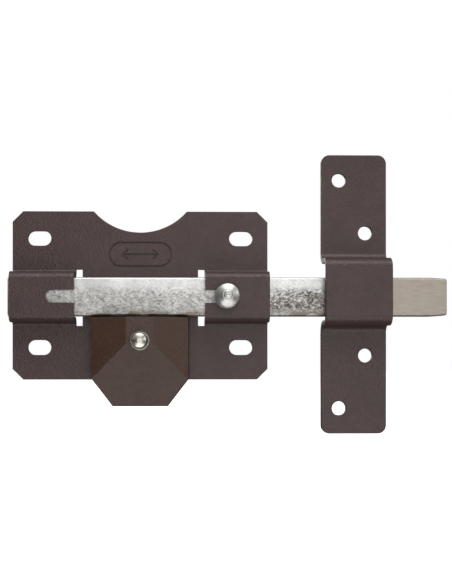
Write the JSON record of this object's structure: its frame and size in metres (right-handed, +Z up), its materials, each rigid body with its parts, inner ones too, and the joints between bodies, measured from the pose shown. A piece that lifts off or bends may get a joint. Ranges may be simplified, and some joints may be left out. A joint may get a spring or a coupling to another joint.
{
  "type": "surface-mounted slide bolt lock",
  "caption": "Rim-mounted slide bolt lock: pressed back plate with two bridges, flat bolt with knob, push-button pawl under a faceted cover, key cylinder and separate keeper.",
  "frame": {"origin": "on the door's inside face, behind the middle of the lock, on the bolt's centreline", "axes": "+X the way the bolt is thrown, +Z up the door, +Y through the door to the outside, so the lock stands out towards -Y"},
  "size_m": [0.2038, 0.0716, 0.132],
  "materials": {
    "brown_paint": "fine-textured dark brown enamel on pressed steel",
    "zinc_bar": "bright zinc plated flat bar with rubbed, mottled faces",
    "bright_nickel": "turned and nickel plated",
    "plain_steel": "zinc-flashed steel, as stamped",
    "brass": "machined brass"
  },
  "bodies": {
    "lock": {"back_plate": "brown_paint", "lock_cover": "brown_paint", "pawl_guide": "plain_steel", "guide_rivet_left": "plain_steel", "guide_rivet_right": "plain_steel", "cylinder_body": "brass", "outer_rosette": "brass", "cylinder_retainer": "plain_steel", "retainer_screw_left": "plain_steel", "retainer_screw_right": "plain_steel", "pin_chamber_cap": "brass", "driver_pin_1": "plain_steel", "driver_pin_2": "plain_steel", "driver_pin_3": "plain_steel", "driver_pin_4": "plain_steel", "driver_pin_5": "plain_steel", "pin_spring_1": "plain_steel", "pin_spring_2": "plain_steel", "pin_spring_3": "plain_steel", "pin_spring_4": "plain_steel", "pin_spring_5": "plain_steel", "pawl_spring_left": "plain_steel", "pawl_spring_right": "plain_steel"},
    "bolt": {"slide_bolt": "zinc_bar", "knob_stud": "plain_steel", "knob_washer": "bright_nickel", "bolt_knob": "bright_nickel"},
    "button": {"push_button": "bright_nickel"},
    "pawl": {"locking_pawl": "plain_steel"},
    "plug": {"cylinder_plug": "brass", "plug_cam": "plain_steel", "key_pin_1": "brass", "key_pin_2": "brass", "key_pin_3": "brass", "key_pin_4": "brass", "key_pin_5": "brass"},
    "keeper": {"keeper": "brown_paint"}
  },
  "joints": [
    {"name": "bolt_slide", "type": "slide", "parent": "lock", "child": "bolt", "axis": [1, 0, 0], "range_m": [-0.08, 0]},
    {"name": "button_press", "type": "slide", "parent": "lock", "child": "button", "axis": [0, 1, 0], "range_m": [0, 0.003], "stiffness_N_per_m": 400, "springref_m": -0.003},
    {"name": "pawl_lift", "type": "slide", "parent": "lock", "child": "pawl", "axis": [0, 0, 1], "range_m": [0, 0.003], "deforming": ["pawl_spring_left", "pawl_spring_right"]},
    {"name": "plug_turn", "type": "hinge", "parent": "lock", "child": "plug", "pos_m": [0, 0, -0.0204], "axis": [0, 1, 0], "range_deg": [0, 60]},
    {"name": "keeper_separation", "type": "slide", "parent": "lock", "child": "keeper", "axis": [1, 0, 0], "range_m": [0, 0.06]}
  ],
  "couplings": [
    {"joint": "pawl_lift", "follows": "button_press", "ratio": 1}
  ]
}
